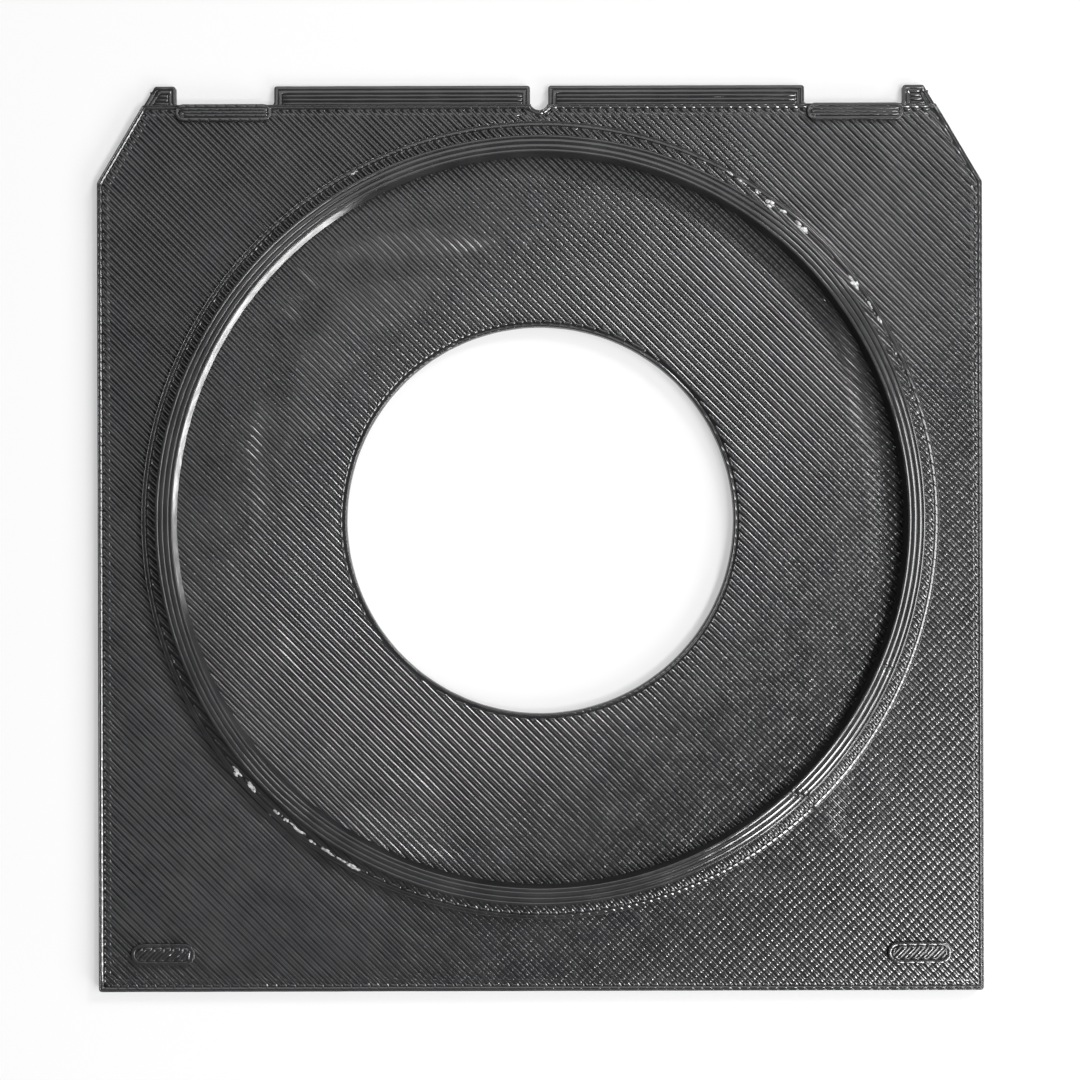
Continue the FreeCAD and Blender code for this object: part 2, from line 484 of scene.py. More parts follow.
def turn_round(shells, ends, joins, top, longest):
    """Joins each bead's end to that of its neighbour, wherever the end's mark is in joins."""
    for (mark, side), found in sorted(ends.items()):
        if mark not in joins:
            continue
        parity = 0 if side == "end" else 1
        for k in sorted(found):
            if k % 2 != parity or k + 1 not in found:
                continue
            for first in found[k]:
                second = min(found[k + 1], key=lambda p: np.hypot(*(p - first)))
                length = np.hypot(*(second - first))
                if not SHORTEST_TURN < length < longest:
                    continue
                steps = max(2, int(length / 0.35) + 1)
                path = first + (second - first) * np.linspace(0, 1, steps)[:, None]
                e = (second - first) / length
                pile = top + (TURN_RISE * rng.uniform(0.2, 1.0) - 0.012 + np.zeros(steps))
                width = rng.uniform(1.0, 1.12)
                bead = strip(path, np.array([-e[1], e[0]]), pile, width, TURN_SECTION)
                shells.tube(bead, closed=False)


def lump(shells, x, y, z, length, width, height, heading, rough=0.16):
    """A blob of over-extruded plastic, rough and closed, lying along heading (degrees)."""
    rows, around = 9, 14
    polar = np.linspace(0, math.pi, rows + 2)[1:-1]
    turn = np.arange(around) * 2 * math.pi / around
    grid = np.stack([
        np.cos(polar)[:, None] * np.ones(around),
        np.sin(polar)[:, None] * np.cos(turn),
        np.sin(polar)[:, None] * np.sin(turn),
    ], axis=-1)
    grid *= 1 + rough * rng.normal(size=(rows, around, 1))
    grid *= np.array([length, width, height]) / 2
    a = math.radians(heading)
    ahead = np.array([math.cos(a), math.sin(a)])
    aside = np.array([-math.sin(a), math.cos(a)])
    plan = grid[..., :1] * ahead + grid[..., 1:2] * aside + np.array([x, y])
    shells.tube(np.concatenate([plan, grid[..., 2:] + z], axis=2), closed=False)


def ring_lump(shells, place, radius, z, length, width, height, heading, rough):
    """A lump at an angle (degrees) and a radius from the hole's axis."""
    a = math.radians(place)
    lump(shells, radius * math.cos(a), radius * math.sin(a), z, length, width, height, heading, rough)


# ---- materials ----
# Dips in a bead: their spacing and depth, how far noise shifts them, and their share on slopes.
WEAVE = (0.77, 0.0150, 3.0, 0.20)                   # the fill sags between the beads below it
TURN_WEAVE = (2 * FILL_PITCH, 0.020, 1.4, 1.0)      # the fill's turns press on the beads at an edge
DARK_TONES = ((0.015, 0.015, 0.016, 1), (0.025, 0.025, 0.026, 1))
SCUFFED_TONES = ((0.10, 0.10, 0.10, 1), (0.62, 0.62, 0.62, 1))
GRAIN_DEPTH = 0.6e-6          # metres


def map_range(tree, value, from_low, from_high, low, high):
    """The value mapped from one range onto another."""
    node = tree.nodes.new("ShaderNodeMapRange")
    sockets = ("From Min", "From Max", "To Min", "To Max")
    for socket, limit in zip(sockets, (from_low, from_high, low, high)):
        node.inputs[socket].default_value = limit
    tree.links.new(value, node.inputs["Value"])
    return node.outputs["Result"]


def plastic(name, weave_run=None, weave=WEAVE, roughness=(0.10, 0.18), grain=1.0,
            tones=DARK_TONES, tone_scale=260.0):
    """Glossy filament: faint colour drift, patchy gloss, fine grain, and dips along weave_run."""
    material = bpy.data.materials.new(name)
    material.use_nodes = True
    tree = material.node_tree
    tree.nodes.clear()
    add, link = tree.nodes.new, tree.links.new
    output, shader = add("ShaderNodeOutputMaterial"), add("ShaderNodeBsdfPrincipled")
    link(shader.outputs["BSDF"], output.inputs["Surface"])
    shader.inputs["IOR"].default_value = 1.5
    coordinates = add("ShaderNodeTexCoord")
    place = coordinates.outputs["Object"]

    def noise(scale, detail=2.0):
        node = add("ShaderNodeTexNoise")
        node.inputs["Scale"].default_value = scale
        node.inputs["Detail"].default_value = detail
        link(place, node.inputs["Vector"])
        return node.outputs["Fac"]

    def spread(value, low, high):
        return map_range(tree, value, 0.3, 0.7, low, high)

    def math_node(kind, a, b=None):
        node = add("ShaderNodeMath")
        node.operation = kind
        for socket, value in zip(node.inputs, (a, b)):
            if isinstance(value, float):
                socket.default_value = value
            elif value is not None:
                link(value, socket)
        return node.outputs[0]

    tone = add("ShaderNodeMix")
    tone.data_type = "RGBA"
    tone.inputs["A"].default_value, tone.inputs["B"].default_value = tones
    link(spread(noise(tone_scale, 4.0), 0.0, 1.0), tone.inputs["Factor"])
    link(tone.outputs["Result"], shader.inputs["Base Color"])
    link(spread(noise(700.0, 3.0), *roughness), shader.inputs["Roughness"])

    fine = add("ShaderNodeBump")
    fine.inputs["Distance"].default_value = GRAIN_DEPTH * grain
    link(noise(9000.0, 3.0), fine.inputs["Height"])
    normal = fine.outputs["Normal"]
    if weave_run is not None:
        pitch, depth, drift_turn, on_slopes = weave
        parts = add("ShaderNodeSeparateXYZ")
        link(place, parts.inputs[0])
        along = math_node("ADD", math_node("MULTIPLY", parts.outputs["X"], float(weave_run[0])),
                          math_node("MULTIPLY", parts.outputs["Y"], float(weave_run[1])))
        drift = math_node("MULTIPLY", noise(420.0), drift_turn)
        angle = math_node("ADD", math_node("MULTIPLY", along, 2 * math.pi / (pitch * MM)), drift)
        crest = math_node("ADD", math_node("MULTIPLY", math_node("SINE", angle), 0.5), 0.5)
        dip = math_node("MULTIPLY", math_node("POWER", crest, 3.0), -1.0)
        height = math_node("MULTIPLY", dip, spread(noise(900.0), 0.45, 1.0))
        sag = add("ShaderNodeBump")
        sag.inputs["Distance"].default_value = depth * MM
        if on_slopes < 1:
            facing = add("ShaderNodeSeparateXYZ")
            link(coordinates.outputs["Normal"], facing.inputs[0])
            level = map_range(tree, facing.outputs["Z"], 0.93, 0.99, on_slopes, 1.0)
            link(level, sag.inputs["Strength"])
        link(height, sag.inputs["Height"])
        link(normal, sag.inputs["Normal"])
        normal = sag.outputs["Normal"]
    link(normal, shader.inputs["Normal"])
    return material


fill_plastic = plastic("filament_fill", DOWN_RIGHT)
edge_plastic = plastic("filament_edge", UP_RIGHT, weave=TURN_WEAVE)
pad_plastic = plastic("filament_pad", UP_RIGHT)
wall_plastic = plastic("filament_wall")
front_plastic = plastic("filament_front", roughness=(0.30, 0.42), grain=1.4)
scuffed_plastic = plastic("filament_scuffed", roughness=(0.25, 0.55), grain=4.0,
                          tones=SCUFFED_TONES, tone_scale=3500.0)

# ---- plate ----
notch_from = math.degrees(math.atan2(ROOT_Y - NOTCH_CENTRE_Y, NOTCH_CORNER_X))
notch_angles = np.radians(np.linspace(notch_from, -180 - notch_from, 10))
notch_arc = [(NOTCH_R * math.cos(a), NOTCH_CENTRE_Y + NOTCH_R * math.sin(a)) for a in notch_angles]
plate_corners = [
    (-HALF_WIDTH, BOTTOM_Y), (HALF_WIDTH, BOTTOM_Y), (HALF_WIDTH, CUT_START_Y), (ROOT_HALF_X, ROOT_Y),
    *notch_arc, (-ROOT_HALF_X, ROOT_Y), (-HALF_WIDTH, CUT_START_Y),
]
BOTTOM_ROUND, CUT_ROUND, ROOT_ROUND, NOTCH_ROUND = 0.35, 0.8, 0.4, 0.12
plate_rounds = [
    BOTTOM_ROUND, BOTTOM_ROUND, CUT_ROUND, ROOT_ROUND,
    NOTCH_ROUND, *[0.0] * (len(notch_arc) - 2), NOTCH_ROUND, ROOT_ROUND, CUT_ROUND,
]
plate_loop = polygon_loop(plate_corners, plate_rounds)
convex_plate = [c for c in plate_corners if c not in notch_arc]     # without the centring notch

RIM_CROWN_HEIGHT = 0.075
RIM_CROWN = [(0.02, 0.85), (0.09, 0.26), (0.25, 0.11), (0.40, 0.0), (0.46, 0.0), (0.49, 0.04),
             (0.68, 0.294), (0.86, 0.535), (0.92, 0.66), (1.0, 1.1)]
SHOULDER_CROWN = [(0.02, 0.85), (0.06, 0.46), (0.28, 0.30), (0.50, 0.15), (0.71, 0.01), (0.79, 0.0),
                  (0.90, 0.3), (1.0, 1.1)]
# two flat beads on the front face, pressed on the printer's bed: (inset, height)
FRONT_BEADS = [(0.93, 0.045), (0.88, 0.012), (0.80, 0.0), (0.52, 0.0), (0.47, 0.016), (0.42, 0.0),
               (0.10, 0.0), (0.03, 0.02)]


def rim_profile(top, side_from=0.0, width=RIM_BEAD, front=True, ledge=0.0, shape=RIM_CROWN):
    """Closed profile of an edge: layered side, one perimeter bead on top, flat beads underneath."""
    side = layers(side_from, top)[:-1]
    groups = side[-1][2] + 1
    crown = [(ledge + f * (width - ledge), top - RIM_CROWN_HEIGHT * g, groups) for f, g in shape]
    if ledge:
        step = [(0.015, 0.105), (0.05, 0.078), (0.11, 0.070), (ledge - 0.03, 0.082), (ledge - 0.005, 0.115)]
        side = side[:-1] + [(inset, top - drop, groups) for inset, drop in step]
    inner = width + 0.08
    if not front:
        return side + crown + [(inner, top - 0.16, -1), (inner, side_from, -1)]
    hidden = [(inner, top - 0.16, -1), (0.95, side_from + 0.12, -1)]
    return side[1:] + crown + hidden + [(inset, z, -1) for inset, z in FRONT_BEADS]


rim = Shells()
swept(rim, plate_loop, rim_profile(PLATE_TOP, width=WIDE_RIM, ledge=LEDGE), 0.012, 90, 0.008)
rim.piece("plate_rim", edge_plastic)

HOLE_SEAM = 118.0             # degrees from +X, where every perimeter of the hole starts
hole_angles = ring_angles(HOLE_R, 0.33, (HOLE_SEAM,))
hole_rim = Shells()
top_group = int(round(PLATE_TOP / LAYER))
hole_seams = [
    (HOLE_SEAM, range(top_group), 0.22, 0.0, -0.03),
    (HOLE_SEAM + 0.6, (top_group,), 0.3, 0.03, 0.0),
]
swept(hole_rim, circle_loop(HOLE_R, 1, hole_angles), rim_profile(PLATE_TOP), 0.010, 60, 0.008,
      seams=hole_seams)
hole_rim.piece("hole_rim", edge_plastic)

CORE_INSET = 0.45             # the core's sides are hidden behind the edge beads
HOLE_CORE_INSET = 0.42
core = Shells()
core_angles = np.sort(np.concatenate([
    np.linspace(-math.pi, math.pi, 240, endpoint=False),
    [math.atan2(y, x) for x, y in convex_plate],
]))
core_unit = np.column_stack([np.cos(core_angles), np.sin(core_angles)])
inset_corners = polygon_loop(convex_plate, [0.0] * len(convex_plate), FAR)(CORE_INSET)
edge_run = np.roll(inset_corners, -1, axis=0) - inset_corners
core_reach = np.full(len(core_unit), FAR)
for corner, edge in zip(inset_corners, edge_run):
    normal = np.array([edge[1], -edge[0]])
    facing = core_unit @ normal
    distance = (corner @ normal) / np.where(np.abs(facing) < 1e-9, 1e-9, facing)
    nearer = (facing > 1e-9) & (distance > 0)
    core_reach = np.where(nearer, np.minimum(core_reach, distance), core_reach)
core_edge = core_unit * core_reach[:, None]
under_notch = (np.abs(core_edge[:, 0]) < NOTCH_R + 0.5) & (core_edge[:, 1] > 0)
core_edge[under_notch, 1] = np.minimum(core_edge[under_notch, 1], NOTCH_BOTTOM_Y - CORE_INSET)
slab(core, core_edge, core_unit * (HOLE_R + HOLE_CORE_INSET), 0.05, PLATE_TOP - CORE_DROP)
core.piece("plate_core", wall_plastic, ["board_plate"])


def plate_stretches(inset, hole_radius, hole_mark):
    """Lines of fill from the plate's outline to a round hole, clear of the centring notch."""
    clip = inside_polygon(convex_plate, inset, "edge")

    def stretches(c, across, run):
        stretch = clip(c, across, run)
        if stretch is None:
            return []
        found = without([stretch], chord(c, across, run, hole_radius), hole_mark)
        return without(found, chord(c, across, run, NOTCH_R + inset, (0, NOTCH_CENTRE_Y)), "edge")

    return stretches


def ring_stretches(outer_radius, outer_mark, inner_radius, inner_mark):
    """Lines of fill between two circles round the hole's axis."""
    def stretches(c, across, run):
        outer = chord(c, across, run, outer_radius)
        if outer is None:
            return []
        whole = (outer[0], outer_mark, outer[1], outer_mark)
        return without([whole], chord(c, across, run, inner_radius), inner_mark)

    return stretches


BOARD_REACH = 72.0            # past the farthest corner from the hole's axis
UNDER_SHOULDER, UNDER_WALL = 0.25, 0.2      # how far the plate's fill runs on under the ring
outer_lower, outer_upper, outline_turns = Shells(), Shells(), Shells()
fill((outer_lower, outer_upper), outline_turns,
     plate_stretches(TURN_INSET, SHOULDER_R - UNDER_SHOULDER, "ring"), BOARD_REACH, DOWN_RIGHT, PLATE_TOP)
outer_lower.piece("outer_fill_lower", fill_plastic)
outer_upper.piece("outer_fill_upper", fill_plastic)
outline_turns.piece("outline_turns", wall_plastic)

recess_lower, recess_upper, hole_turns = Shells(), Shells(), Shells()
recess_radius = WALL_IN_R + UNDER_WALL
fill((recess_lower, recess_upper), hole_turns,
     ring_stretches(recess_radius, "ring", HOLE_R + HOLE_TURN_INSET, "hole"), recess_radius, DOWN_RIGHT,
     PLATE_TOP, joins=("hole",))
recess_lower.piece("recess_fill_lower", fill_plastic)
recess_upper.piece("recess_fill_upper", fill_plastic)
for k in range(5):
    heading = HOLE_SEAM - 2.6 + 0.9 * k
    r = HOLE_R + rng.uniform(0.3, 0.7)
    ring_lump(hole_turns, heading, r, PLATE_TOP - 0.055, rng.uniform(0.4, 0.7), rng.uniform(0.2, 0.4),
              0.10, rng.uniform(0, 60), 0.10)
hole_turns.piece("hole_turns", wall_plastic)

# plastic squeezed flat where the fill beads turn round: (inset, depth under the top, group)
FLASH = [(0.80, 0.100, 0), (0.90, 0.034, 0), (1.05, 0.016, 0), (1.25, 0.022, 0), (1.55, 0.100, 0),
         (1.10, 0.200, -1)]
flash = Shells()
swept(flash, plate_loop, [(inset, PLATE_TOP - depth, group) for inset, depth, group in FLASH],
      0.05, 200, 0.010)
flash.piece("edge_flash", wall_plastic)

FRONT_INSET = 0.98            # the front fill starts inside the two flat beads
front_fill = Shells()
fill(front_fill, None, plate_stretches(FRONT_INSET, HOLE_R + FRONT_INSET, "edge"), BOARD_REACH, UP_RIGHT,
     0.0, pitch=0.46, section=FRONT_SECTION, flip=-1.0, station=5.0, wander=0.004)
front_fill.piece("front_fill", front_plastic)

# ---- ring: shoulder and light-trap wall ----
RING_SEAM, SMALL_SEAM = -47.0, -23.0      # degrees from +X
SHOULDER_LEDGE = 0.15
RING_CORE_INSET = 0.3
SHOULDER_TURN_INSET = 0.70
shoulder_angles = ring_angles(SHOULDER_R, 0.42, (RING_SEAM, SMALL_SEAM))
shoulder_rim = Shells()
shoulder_profile = rim_profile(SHOULDER_TOP, PLATE_TOP, WIDE_RIM, False, SHOULDER_LEDGE, SHOULDER_CROWN)
shoulder_group = int(round((SHOULDER_TOP - PLATE_TOP) / LAYER))
shoulder_seams = [
    (RING_SEAM + 0.2, (shoulder_group,), 0.16, -0.07, -0.03),
    (RING_SEAM + 0.9, (shoulder_group,), 0.3, 0.02, 0.02),
    (SMALL_SEAM, (shoulder_group,), 0.12, -0.04, 0.0),
]
swept(shoulder_rim, circle_loop(SHOULDER_R, -1, shoulder_angles), shoulder_profile, 0.012, 120, 0.008,
      seams=shoulder_seams)
shoulder_rim.piece("shoulder_rim", edge_plastic)

shoulder_core = Shells()
core_outside = circle_loop(SHOULDER_R - RING_CORE_INSET, -1, shoulder_angles)(0)
core_inside = circle_loop(WALL_IN_R + RING_CORE_INSET, 1, shoulder_angles)(0)
slab(shoulder_core, core_outside, core_inside, PLATE_TOP - 0.06, SHOULDER_TOP - CORE_DROP)
shoulder_core.piece("shoulder_core", wall_plastic, ["wall_shoulder"])

shoulder_fill = Shells()
fill(shoulder_fill, shoulder_fill,
     ring_stretches(SHOULDER_R - SHOULDER_TURN_INSET, "rim", WALL_OUT_R - 0.15, "wall"), SHOULDER_R,
     DOWN_RIGHT, SHOULDER_TOP, joins=("rim",), longest_turn=1.4)
shoulder_fill.piece("shoulder_fill", fill_plastic)

# roughened, paler scars on the shoulder: (angle from +X in degrees, length, width, radius)
SCARS = [
    (219.9, 1.9, 0.46, 42.65), (222.7, 1.5, 0.50, 42.45), (227.8, 1.0, 0.28, 42.55),
    (229.6, 0.8, 0.34, 42.45), (231.4, 2.2, 0.40, 42.50), (234.6, 1.0, 0.28, 42.65),
    (237.2, 1.6, 0.34, 42.60), (239.4, 1.3, 0.30, 42.50), (241.9, 1.9, 0.36, 42.55),
    (61.2, 1.4, 0.22, 42.75), (59.0, 1.3, 0.24, 42.60), (56.3, 0.8, 0.34, 42.55),
    (53.9, 1.3, 0.50, 42.40), (51.7, 0.9, 0.40, 42.55), (48.2, 1.9, 0.60, 42.40),
    (37.9, 1.3, 0.25, 42.60), (36.6, 1.6, 0.52, 42.55), (33.0, 0.9, 0.24, 42.60),
    (30.6, 1.2, 0.30, 42.65), (118.0, 0.8, 0.25, 42.60),
]
scars = Shells()
for place, length, width, radius in SCARS:
    for part in range(5):
        along = length * rng.uniform(-0.32, 0.32)
        angle = math.degrees(math.radians(place) + along / radius)
        r = radius + rng.normal(0, 0.22 * width)
        long = length * rng.uniform(0.3, 0.6)
        wide = width * rng.uniform(0.45, 0.85)
        lie = angle + 90 + rng.normal(0, 9)
        ring_lump(scars, angle, r, SHOULDER_TOP - 0.045, long, wide, 0.14, lie, 0.13)
scars.piece("shoulder_scars", scuffed_plastic)

wall_angles = ring_angles(WALL_OUT_R, 0.52, (RING_SEAM, SMALL_SEAM))
wall_width = WALL_OUT_R - WALL_IN_R
WALL_DRAFT = 0.17             # the inner side leans out this much towards the top
# one layer of the inner side, as (inset, height): the chamfer above its nose catches low light
LAYER_FACET = [(0.055, 0.0), (0.012, 0.035), (0.0, 0.118), (0.037, 0.1582)]
FACET_CREASES = (2, 3)        # the places in LAYER_FACET that keep a sharp edge
wall_layers = int(round((WALL_TOP - PLATE_TOP) / LAYER))
inner_side = [
    (WALL_DRAFT * (k / wall_layers - 0.55) + d, PLATE_TOP + k * LAYER + z, k)
    for k in range(wall_layers) for d, z in LAYER_FACET
][:-1]
WALL_BEADS = [0.06, 0.47, 1.05, 1.60, wall_width]     # insets of the edges of the four top beads
WALL_GROOVE = 0.095           # the wall's top beads are rounder than the others
WALL_CROWN = CROWN[:5] + [(0.56, 0.015), (0.74, 0.14), (0.90, 0.27), (0.97, 0.82)]
first_bead, last_bead = wall_layers, wall_layers + len(WALL_BEADS) - 2
outer_side = [
    (wall_width - d, z, g + last_bead + 1) for d, z, g in layers(SHOULDER_TOP, WALL_TOP)[:-1]
][::-1]
wall_profile = [
    (0.06, PLATE_TOP - 0.08, -1),
    *inner_side,
    (0.075, WALL_TOP - 0.075, first_bead),
    *bead_tops(WALL_BEADS, WALL_TOP, first_bead, WALL_GROOVE, WALL_CROWN),
    (wall_width - 0.010, WALL_TOP - 0.07, last_bead),
    *outer_side,
    (wall_width - 0.06, SHOULDER_TOP - 0.15, -1),
]
seam_marks = []
for k, (length, rise) in enumerate(((0.16, -0.05), (0.20, -0.10), (0.16, -0.09), (0.14, -0.06))):
    place = RING_SEAM + 0.5 * k - 0.6
    seam_marks.append((place, (first_bead + k,), length, rise, 0.0))
    seam_marks.append((place + 0.75, (first_bead + k,), 0.35, 0.0, 0.03))
seam_marks.append((SMALL_SEAM, (first_bead + 1, first_bead + 2), 0.15, -0.06, 0.0))
wall = Shells()
facet_edges = [1 + len(LAYER_FACET) * k + j for k in range(wall_layers) for j in FACET_CREASES][:-1]
swept(wall, circle_loop(WALL_IN_R, 1, wall_angles), wall_profile, 0.012, 130, 0.014, seams=seam_marks,
      creases=facet_edges)
for k, (a, b) in enumerate(zip(WALL_BEADS[:-1], WALL_BEADS[1:])):
    for part in range(3):
        r = WALL_IN_R + (a + b) / 2 + rng.normal(0, 0.05)
        angle = RING_SEAM + 0.5 * k + 0.35 + 0.42 * part
        ring_lump(wall, angle, r, WALL_TOP - 0.068, rng.uniform(0.35, 0.6), rng.uniform(0.22, 0.4), 0.115,
                  angle + 90 + rng.normal(0, 10), 0.10)
wall.piece("light_trap_ring", wall_plastic, ["light_trap_wall"])


# ---- thin lip along the top edge ----
LIP_LOW = 0.004               # the lip's underside, a hair above the front face


def lip_piece(name, corners, rounds, replaces, low=LIP_LOW):
    """A stretch of lip: two perimeter beads all round, straight beads between them."""
    if sum(a[0] * b[1] - b[0] * a[1] for a, b in zip(corners, corners[1:] + corners[:1])) < 0:
        corners, rounds = corners[::-1], rounds[::-1]
    loop = polygon_loop(corners, rounds, 0.8)
    shells = Shells()
    side = layers(low, LIP_TOP + low)[1:-1]
    groups = side[-1][2] + 1
    bead = (TOP_Y - ROOT_Y) / 5 + 0.004
    both = 2 * bead
    under = [
        (both, LIP_TOP - 0.09), (both + 0.05, LIP_TOP - 0.14), (both + 0.05, low + 0.05), (both, low),
        (bead + 0.04, low), (bead, low + 0.016), (bead - 0.04, low), (0.08, low), (0.02, low + 0.02),
    ]
    tops = bead_tops([0.0, bead, both], LIP_TOP, groups)
    swept(shells, loop, side + tops + [(inset, z, -1) for inset, z in under], 0.012, 24, 0.008)
    inner = loop(both)
    following = np.roll(inner, -1, axis=0)
    section = BEAD_SECTION * np.array([bead / FILL_PITCH, 1.0])
    for k in range(3):
        y = TOP_Y - (2.5 + k) * bead
        crossed = (inner[:, 1] - y) * (following[:, 1] - y) < 0
        near, far = inner[crossed], following[crossed]
        x = near[:, 0] + (y - near[:, 1]) / (far[:, 1] - near[:, 1]) * (far[:, 0] - near[:, 0])
        steps = max(3, int((x.max() - x.min()) / 0.8))
        x = np.linspace(x.min() + 0.12, x.max() - 0.12, steps)
        sway = 0.010 * np.sin(x / 1.7 + rng.uniform(0, 6)) + 0.006 * np.sin(x / 0.6 + rng.uniform(0, 6))
        path = np.column_stack([x, y + sway])
        lift = LIP_TOP - 0.006 + 0.004 * np.sin(x / 2.1 + rng.uniform(0, 6))
        shells.tube(strip(path, np.array([0.0, 1.0]), lift, 1.0, section), closed=False)
    middle = (ROOT_Y + TOP_Y - both) / 2
    reach = (TOP_Y - both - ROOT_Y) / 2 + 0.25
    left, right = inner[:, 0].min() - 0.05, inner[:, 0].max() + 0.05
    box = np.array([
        [left, middle - reach], [right, middle - reach], [right, middle + reach], [left, middle + reach],
    ])
    block(shells, box, low + 0.01, LIP_TOP - CORE_DROP)
    shells.piece(name, wall_plastic, replaces)


BURY = 1.20                   # the lip's perimeters close up inside the plate
ROOT_FLARE = 0.28             # the corner at the root of the lip is rounded out
BURIED_ROUND, TIP_ROUND = 0.05, 0.3
lip_edge = SIDE_NOTCH_INNER + ROOT_FLARE
lip_outline = [
    (NOTCH_R, ROOT_Y - BURY, BURIED_ROUND), (lip_edge, ROOT_Y - BURY, BURIED_ROUND),
    (lip_edge, ROOT_Y - 0.02, 0.0), (SIDE_NOTCH_INNER, ROOT_Y + ROOT_FLARE, TIP_ROUND),
    (SIDE_NOTCH_INNER, TOP_Y, TIP_ROUND), (NOTCH_R, TOP_Y, TIP_ROUND),
]
tab_edge = SIDE_NOTCH_OUTER - ROOT_FLARE
tab_slope = (TAB_ROOT_X - TAB_TIP_X) / (TOP_Y - ROOT_Y)
tab_outline = [
    (tab_edge, ROOT_Y - BURY, BURIED_ROUND),
    (TAB_ROOT_X + tab_slope * BURY - 0.3, ROOT_Y - BURY, BURIED_ROUND),
    (TAB_ROOT_X, ROOT_Y, 0.0), (TAB_TIP_X, TOP_Y, TIP_ROUND), (SIDE_NOTCH_OUTER, TOP_Y, TIP_ROUND),
    (SIDE_NOTCH_OUTER, ROOT_Y + ROOT_FLARE, TIP_ROUND), (tab_edge, ROOT_Y - 0.02, 0.0),
]
for side_name, side in (("left", -1), ("right", 1)):
    for name, node, outline in (("lip_", "top_lip_", lip_outline), ("tab_", "corner_tab_", tab_outline)):
        corners = [(side * x, y) for x, y, _ in outline]
        rounds = [round_off for _, _, round_off in outline]
        lip_piece(name + side_name, corners, rounds, [node + side_name])


# ---- seating pads ----
def stadium_loop(x, y, length, width):
    """inset -> a long shape with half-round ends."""
    half = (length - width) / 2
    turn = np.linspace(-math.pi / 2, math.pi / 2, 13)
    flat = np.linspace(-half, half, max(3, int(2 * half / 0.8)))[1:-1]

    def loop(inset):
        r = width / 2 - inset
        right = np.column_stack([x + half + r * np.cos(turn), y + r * np.sin(turn)])
        left = np.column_stack([x - half - r * np.cos(turn), y - r * np.sin(turn)])
        top = np.column_stack([x + flat[::-1], np.full(len(flat), y + r)])
        bottom = np.column_stack([x + flat, np.full(len(flat), y - r)])
        return np.concatenate([right, top, left, bottom])

    return loop


PAD_REACH = 70.0              # past the pads, from the hole's axis


def pad_body(node, cycles):
    """A pad's layered side, perimeter bead and core, and its middle, length, width and top."""
    low, high = node_box(node)
    x, y = (low[:2] + high[:2]) / 2
    length, width = high[:2] - low[:2]
    top = high[2]
    outline = stadium_loop(x, y, length, width)
    side = layers(PLATE_TOP, top)[:-1]
    groups = side[-1][2] + 1
    profile = [
        (0.03, PLATE_TOP - 0.1, -1),
        *side,
        (0.02, top - 0.05, groups),
        *bead_tops([0.0, RIM_BEAD], top, groups, groove=0.05),
        (RIM_BEAD, top - 0.10, -1),
        (RIM_BEAD + 0.05, PLATE_TOP - 0.1, -1),
    ]
    pad = Shells()
    swept(pad, outline, profile, 0.014, cycles, 0.012)
    block(pad, outline(RIM_BEAD - 0.1), PLATE_TOP - 0.05, top - CORE_DROP)
    return pad, x, y, length, width, top


def top_pad(name, node):
    """A narrow pad: three beads along it, and blobs near its ends."""
    pad, x, y, length, width, top = pad_body(node, 16)
    reach = (length - width) / 2 + 0.30
    along = np.linspace(-reach, reach, 15)
    for offset in (0.37, 0.04, -0.29):
        path = np.column_stack([x + along, y + offset + 0.012 * np.sin(along / 0.8 + rng.uniform(0, 6))])
        lift = top - 0.004 + 0.004 * np.sin(along / 1.1 + rng.uniform(0, 6))
        bead = strip(path, np.array([0.0, 1.0]), lift, section=BEAD_SECTION * [0.95, 0.6])
        pad.tube(bead, closed=False)
    for end in (-1,) * 6 + (1,) * 4:
        lump(pad, x + end * (length / 2 - rng.uniform(0.25, 0.85)), y + rng.uniform(-0.65, 0.4), top - 0.06,
             rng.uniform(0.4, 0.8), rng.uniform(0.18, 0.32), 0.118, rng.uniform(-30, 40))
    pad.piece(name, pad_plastic, [node])


def bottom_pad(name, node):
    """A wider pad, filled with short slanting beads that turn round inside its perimeter."""
    pad, x, y, length, width, top = pad_body(node, 14)
    straight = (length - width) / 2
    r = width / 2 - 0.56

    def stretches(c, across, run):
        found = [chord(c, across, run, r, (x + e * straight, y)) for e in (-1, 1)]
        box = [(x - straight, y - r), (x + straight, y - r), (x + straight, y + r), (x - straight, y + r)]
        inner = inside_polygon(box, 0.0, "edge")(c, across, run)
        found = [f for f in found if f] + ([(inner[0], inner[2])] if inner else [])
        if not found:
            return []
        return [(min(f[0] for f in found), "edge", max(f[1] for f in found), "edge")]

    fill(pad, pad, stretches, PAD_REACH, UP_RIGHT, top, station=0.5)
    pad.piece(name, pad_plastic, [node])


for side_name in ("left", "right"):
    top_pad("pad_top_" + side_name, "top_pad_" + side_name)
    bottom_pad("pad_bottom_" + side_name, "bottom_pad_" + side_name)

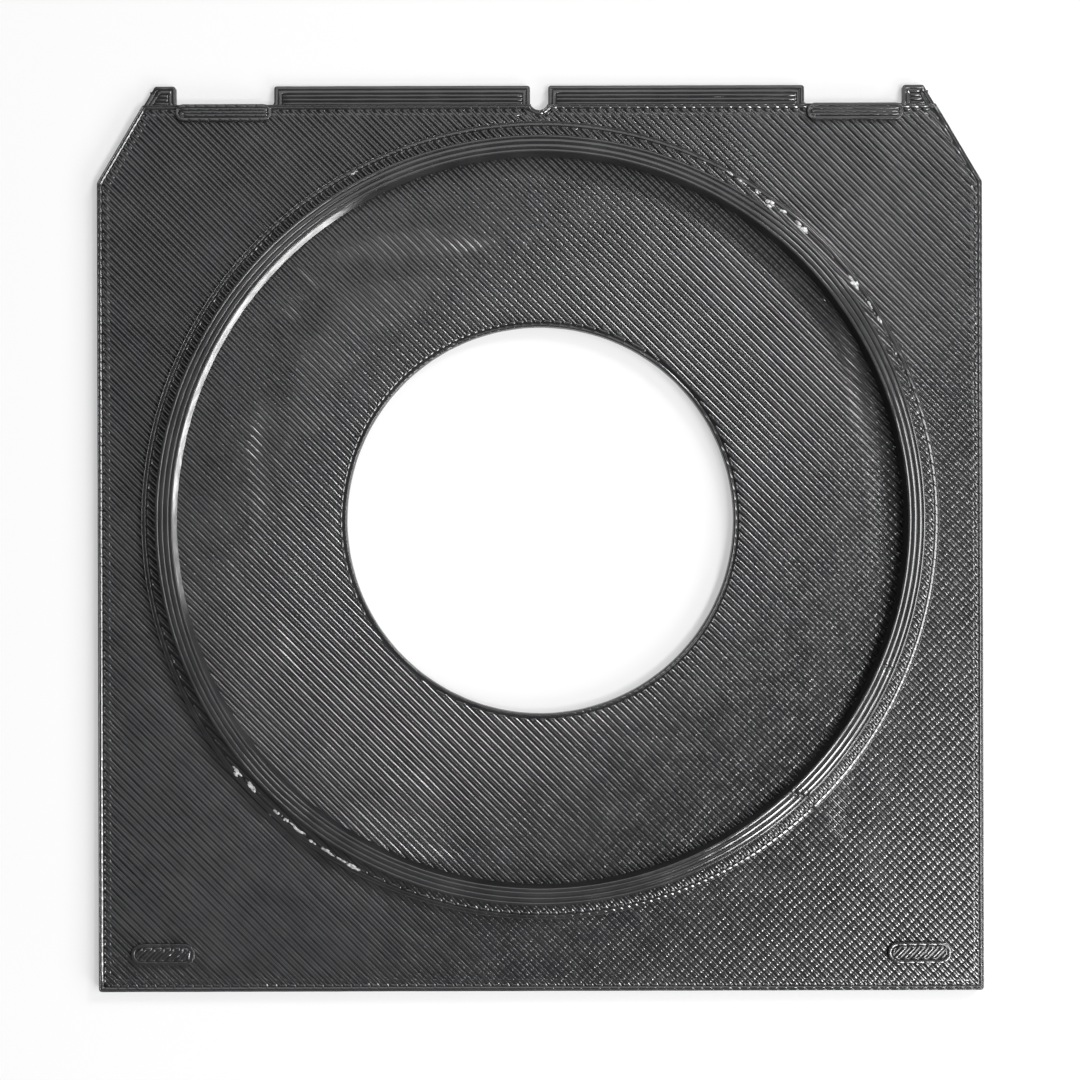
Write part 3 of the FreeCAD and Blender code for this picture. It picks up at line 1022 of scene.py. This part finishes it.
# ---- floor, light and camera ----
FLOOR_HALF = 3.0              # metres, as are all lengths on the table from here on
FLOOR_Z = -2e-5               # just under the board's front face
PAPER_TONE = 0.31
# painted light: the floor's emission, strongest near the board, which fills the shadows cast on it
PAINTED_GLOW_STRENGTH = 0.46
PAINTED_GLOW_NEAR, PAINTED_GLOW_FAR = 0.25, 1.8
floor_mesh = bpy.data.meshes.new("floor")
floor_corners = [(x * FLOOR_HALF, y * FLOOR_HALF, FLOOR_Z) for x, y in ((-1, -1), (1, -1), (1, 1), (-1, 1))]
floor_mesh.from_pydata(floor_corners, [], [(0, 1, 2, 3)])
floor = bpy.data.objects.new("floor", floor_mesh)
scene = bpy.context.scene
scene.collection.objects.link(floor)
paper = bpy.data.materials.new("pale_floor")
paper.use_nodes = True
paper_nodes, paper_links = paper.node_tree.nodes, paper.node_tree.links
paper_shader = paper_nodes["Principled BSDF"]
paper_shader.inputs["Base Color"].default_value = (PAPER_TONE, PAPER_TONE, PAPER_TONE, 1)
paper_shader.inputs["Roughness"].default_value = 0.9
paper_shader.inputs["Specular IOR Level"].default_value = 0.1
paper_shader.inputs["Emission Color"].default_value = (1, 1, 1, 1)
# painted light: the paper glows by emission, not lamps, so that the shadows on it stay soft and pale; the
# glow fades outwards
painted_glow_place = paper_nodes.new("ShaderNodeTexCoord")
painted_glow_reach = paper_nodes.new("ShaderNodeVectorMath")
painted_glow_reach.operation = "LENGTH"
paper_links.new(painted_glow_place.outputs["Object"], painted_glow_reach.inputs[0])
painted_glow = map_range(paper.node_tree, painted_glow_reach.outputs["Value"], PAINTED_GLOW_NEAR, PAINTED_GLOW_FAR, PAINTED_GLOW_STRENGTH, 0.0)
paper_links.new(painted_glow, paper_shader.inputs["Emission Strength"])
floor_mesh.materials.append(paper)

scene.view_settings.view_transform = "Standard"
world = bpy.data.worlds.new("studio")
world.use_nodes = True
background = world.node_tree.nodes["Background"]
background.inputs["Color"].default_value = (1, 1, 1, 1)
background.inputs["Strength"].default_value = 0.08
scene.world = world

# soft boxes, all aimed at the origin: name, heading from +X towards +Y and height above the table
# in degrees, width, height, radiance
BOX_DISTANCE = 0.80
SOFT_BOXES = [
    ("low", -29.0, 2.6, 0.86, 0.05, 32.0),
    ("low_right", 6.5, 2.6, 0.18, 0.05, 11.0),
    ("low_corner", -40.0, 34.0, 0.32, 0.32, 11.0),
    ("right", -6.0, 65.5, 0.26, 0.19, 20.0),
    ("lower_right", -46.0, 67.5, 0.12, 0.12, 58.0),
    ("right_low", 12.0, 32.0, 0.60, 0.24, 4.0),
    ("upper_right", 45.0, 45.2, 0.125, 0.15, 46.0),
    ("top", 90.0, 66.0, 0.46, 0.26, 2.2),
    ("overhead", 55.0, 80.0, 0.14, 0.14, 1.3),
    ("overhead_top", 105.0, 80.0, 0.24, 0.12, 2.6),
]


def soft_box(name, heading, elevation, width, tall, radiance):
    name = "softbox_" + name
    lamp = bpy.data.lights.new(name, "AREA")
    lamp.shape = "RECTANGLE"
    lamp.size, lamp.size_y = width, tall
    lamp.energy = radiance * width * tall * math.pi
    made = bpy.data.objects.new(name, lamp)
    a, e = math.radians(heading), math.radians(elevation)
    toward = Vector((math.cos(a) * math.cos(e), math.sin(a) * math.cos(e), math.sin(e)))
    made.location = toward * BOX_DISTANCE
    made.rotation_mode = "QUATERNION"
    made.rotation_quaternion = (-made.location).to_track_quat("-Z", "Y")
    scene.collection.objects.link(made)


for box in SOFT_BOXES:
    soft_box(*box)

CAMERA_HEIGHT = 0.312         # above the plate's top face
CAMERA_PLACE = (-0.00003, -0.002135)
CAMERA_ROLL = -0.15           # degrees
LENS, SENSOR = 95.96, 36.0    # millimetres
camera_data = bpy.data.cameras.new("camera")
camera_data.sensor_width = SENSOR
camera_data.lens = LENS
camera_data.clip_start, camera_data.clip_end = 0.01, 20.0
camera = bpy.data.objects.new("camera", camera_data)
camera.location = (*CAMERA_PLACE, PLATE_TOP * MM + CAMERA_HEIGHT)
camera.rotation_euler = (0.0, 0.0, math.radians(CAMERA_ROLL))
scene.collection.objects.link(camera)
scene.camera = camera

bpy.context.view_layer.update()
